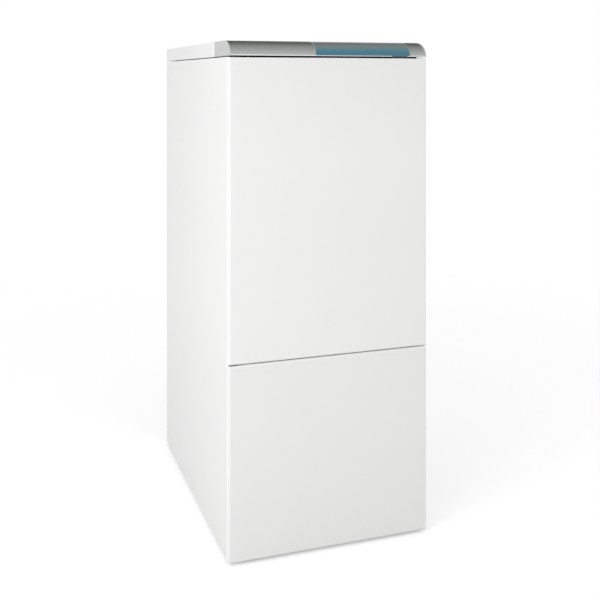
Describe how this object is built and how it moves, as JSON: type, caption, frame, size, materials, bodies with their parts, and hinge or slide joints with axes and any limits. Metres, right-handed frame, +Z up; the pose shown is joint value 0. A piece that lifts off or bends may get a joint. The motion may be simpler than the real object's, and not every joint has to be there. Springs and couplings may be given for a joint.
{
  "type": "floor standing gas boiler",
  "caption": "Tall white sheet steel boiler cabinet with a curved silver control strip and blue flap, cast iron body above a horizontal hot water tank.",
  "frame": {"origin": "on the floor under the centre of the casing", "axes": "+Z up, -Y out of the door side, +X to the right of someone who stands before the boiler"},
  "size_m": [0.574, 0.868, 1.385],
  "materials": {
    "white_coat": "white powder coat, semi-matt",
    "zinc_steel": "zinc coated sheet",
    "dark_steel": "dark grey dip coat, matt",
    "black_rubber": "matt",
    "cheek_grey": "light grey, fine texture",
    "silver_plastic": "silver grey lacquer, satin",
    "blue_flap": "blue translucent, polished",
    "plate_grey": "mid grey, matt",
    "display_black": "black, polished",
    "button_grey": "light grey",
    "dial_black": "black, matt",
    "rocker_green": "green, glossy",
    "gauge_white": "white dial under a clear cover",
    "tank_enamel": "dark blue enamelled steel",
    "foam": "rigid foam, cream",
    "die_cast": "die cast, dull",
    "red_plastic": "red, glossy",
    "copper": "drawn copper tube",
    "cast_iron": "raw sand casting",
    "mineral_wool": "mineral wool board",
    "galvanised": "galvanised sheet",
    "brass": "turned brass",
    "gas_yellow": "yellow paint",
    "vessel_red": "red paint, semi-gloss"
  },
  "bodies": {
    "cabinet": {"base_rail_left": "dark_steel", "base_rail_right": "dark_steel", "base_cross_front": "dark_steel", "tank_saddle_front": "dark_steel", "tank_saddle_rear": "dark_steel", "post_front_left": "zinc_steel", "post_front_right": "zinc_steel", "post_rear_left": "zinc_steel", "post_rear_right": "zinc_steel", "middle_shelf": "zinc_steel", "top_crossbar": "zinc_steel", "side_panel_left": "white_coat", "side_panel_right": "white_coat", "door_hinge_upper": "dark_steel", "door_hinge_lower": "dark_steel", "rear_panel": "zinc_steel", "cheek_left": "cheek_grey", "cheek_right": "cheek_grey", "control_fascia": "silver_plastic", "control_housing": "dark_steel", "control_plate": "plate_grey", "display_window": "display_black", "pressure_gauge": "gauge_white", "storage_tank": "tank_enamel", "tank_insulation": "foam", "tank_flange": "die_cast", "tank_coil": "copper", "heat_exchanger": "cast_iron", "boiler_insulation": "mineral_wool", "draught_diverter": "galvanised", "burner": "galvanised", "gas_manifold": "brass", "gas_valve": "die_cast", "gas_pipe": "gas_yellow", "heating_pump": "vessel_red", "return_pipe": "copper", "pump_pipe": "copper", "flow_pipe": "copper", "cold_water_pipe": "copper", "hot_water_pipe": "copper", "safety_valve": "brass", "expansion_vessel": "vessel_red", "cable_gland": "black_rubber"},
    "door": {"front_door": "white_coat"},
    "lower_front": {"lower_panel": "white_coat"},
    "cover": {"top_cover": "white_coat"},
    "flap": {"control_flap": "blue_flap"},
    "button_1": {"push_button_1": "button_grey"},
    "button_2": {"push_button_2": "button_grey"},
    "dial": {"setting_dial": "dial_black"},
    "rocker": {"mains_rocker": "rocker_green"},
    "gas_lever": {"gas_cock_lever": "gas_yellow"},
    "drain_lever": {"drain_cock_lever": "red_plastic"},
    "pump_knob": {"pump_speed_knob": "dial_black"},
    "safety_knob": {"safety_valve_knob": "red_plastic"},
    "foot_fl": {"foot_front_left": "black_rubber"},
    "foot_fr": {"foot_front_right": "black_rubber"},
    "foot_rl": {"foot_rear_left": "black_rubber"},
    "foot_rr": {"foot_rear_right": "black_rubber"}
  },
  "joints": [
    {"name": "door_swing", "type": "hinge", "parent": "cabinet", "child": "door", "pos_m": [-0.283, -0.4265, 0.5285], "axis": [0, 0, -1], "range_deg": [0, 105]},
    {"name": "lower_panel_off", "type": "slide", "parent": "cabinet", "child": "lower_front", "axis": [0, -1, 0], "range_m": [0, 0.06]},
    {"name": "cover_lift", "type": "slide", "parent": "cabinet", "child": "cover", "axis": [0, 0, 1], "range_m": [0, 0.06]},
    {"name": "flap_lift", "type": "hinge", "parent": "cabinet", "child": "flap", "pos_m": [0.096, -0.379, 1.3805], "axis": [-1, 0, 0], "range_deg": [0, 95]},
    {"name": "button_1_press", "type": "slide", "parent": "cabinet", "child": "button_1", "axis": [0, 0.573, -0.8195], "range_m": [0, 0.001], "stiffness_N_per_m": 600, "springref_m": -0.001},
    {"name": "button_2_press", "type": "slide", "parent": "cabinet", "child": "button_2", "axis": [0, 0.573, -0.8195], "range_m": [0, 0.001], "stiffness_N_per_m": 600, "springref_m": -0.001},
    {"name": "dial_turn", "type": "hinge", "parent": "cabinet", "child": "dial", "pos_m": [0.15494, -0.40959, 1.36592], "axis": [0, -0.573, 0.8195], "range_deg": [0, 270]},
    {"name": "rocker_tilt", "type": "hinge", "parent": "cabinet", "child": "rocker", "pos_m": [0.199, -0.40902, 1.3651], "axis": [0, 0.8195, 0.573], "range_deg": [0, 16]},
    {"name": "gas_cock_turn", "type": "hinge", "parent": "cabinet", "child": "gas_lever", "pos_m": [0.232, -0.1, 0.6343], "axis": [0, 0, 1], "range_deg": [0, 90]},
    {"name": "drain_cock_turn", "type": "hinge", "parent": "cabinet", "child": "drain_lever", "pos_m": [0, -0.4056, 0.247], "axis": [0, 1, 0], "range_deg": [0, 90]},
    {"name": "pump_speed_turn", "type": "hinge", "parent": "cabinet", "child": "pump_knob", "pos_m": [-0.2255, -0.3853, 0.7], "axis": [0, -1, 0], "range_deg": [0, 80]},
    {"name": "safety_valve_turn", "type": "hinge", "parent": "cabinet", "child": "safety_knob", "pos_m": [-0.2255, 0, 1.0436], "axis": [0, 0, 1], "range_deg": [0, 90]},
    {"name": "foot_fl_turn", "type": "hinge", "parent": "cabinet", "child": "foot_fl", "pos_m": [-0.256, -0.359, 0], "axis": [0, 0, 1], "continuous": true},
    {"name": "foot_fr_turn", "type": "hinge", "parent": "cabinet", "child": "foot_fr", "pos_m": [0.256, -0.359, 0], "axis": [0, 0, 1], "continuous": true},
    {"name": "foot_rl_turn", "type": "hinge", "parent": "cabinet", "child": "foot_rl", "pos_m": [-0.256, 0.359, 0], "axis": [0, 0, 1], "continuous": true},
    {"name": "foot_rr_turn", "type": "hinge", "parent": "cabinet", "child": "foot_rr", "pos_m": [0.256, 0.359, 0], "axis": [0, 0, 1], "continuous": true}
  ]
}
